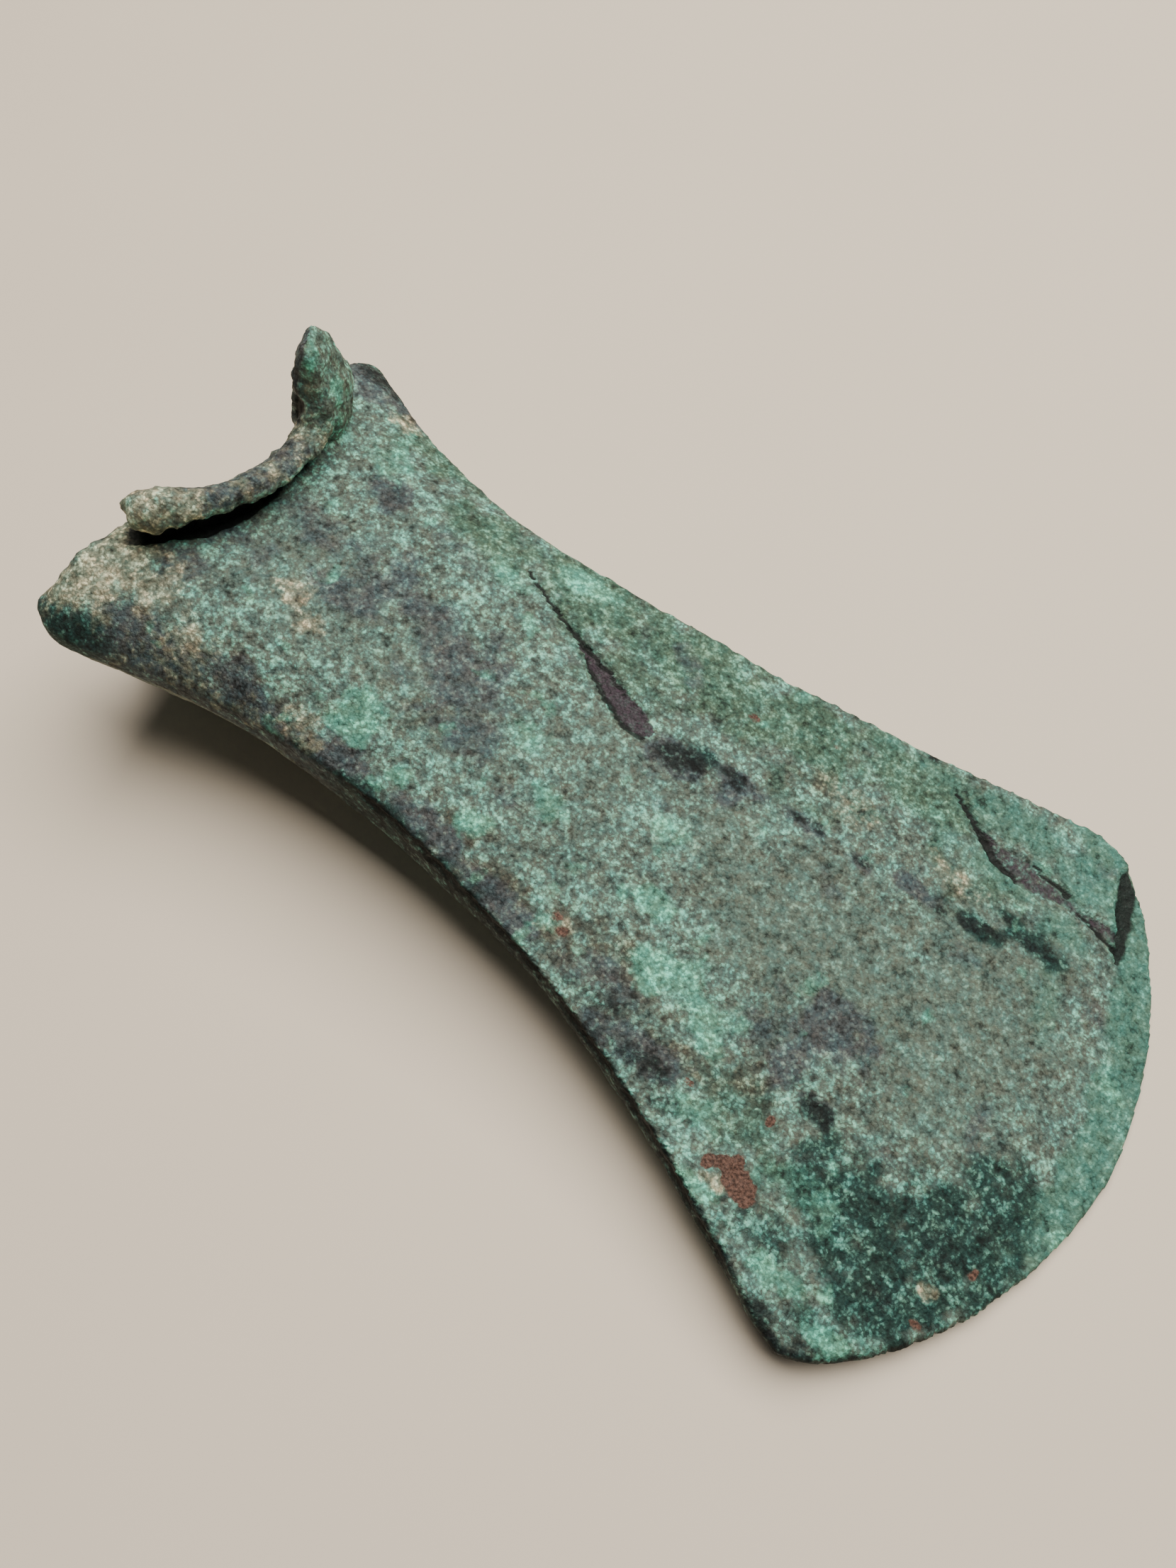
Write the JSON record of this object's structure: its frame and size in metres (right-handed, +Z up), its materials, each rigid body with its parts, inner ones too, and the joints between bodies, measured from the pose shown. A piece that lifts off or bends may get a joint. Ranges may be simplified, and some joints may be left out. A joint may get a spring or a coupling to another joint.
{
  "type": "axe head",
  "caption": "Cast bronze axe head with concave sides, a flared crescent blade and a butt broken across a collared shaft hole, one side of the collar left as a tall horn.",
  "frame": {"origin": "centre of the bounding box in X and Y, on the surface the head lies on", "axes": "+X from the butt to the cutting edge, +Y to the side with the horn, +Z up from the surface it lies on"},
  "size_m": [0.1644, 0.089, 0.0482],
  "materials": {
    "bronze": "matt, grainy green patina with slate and mint mottling"
  },
  "bodies": {
    "root": {"axe_head": "bronze"}
  },
  "joints": []
}
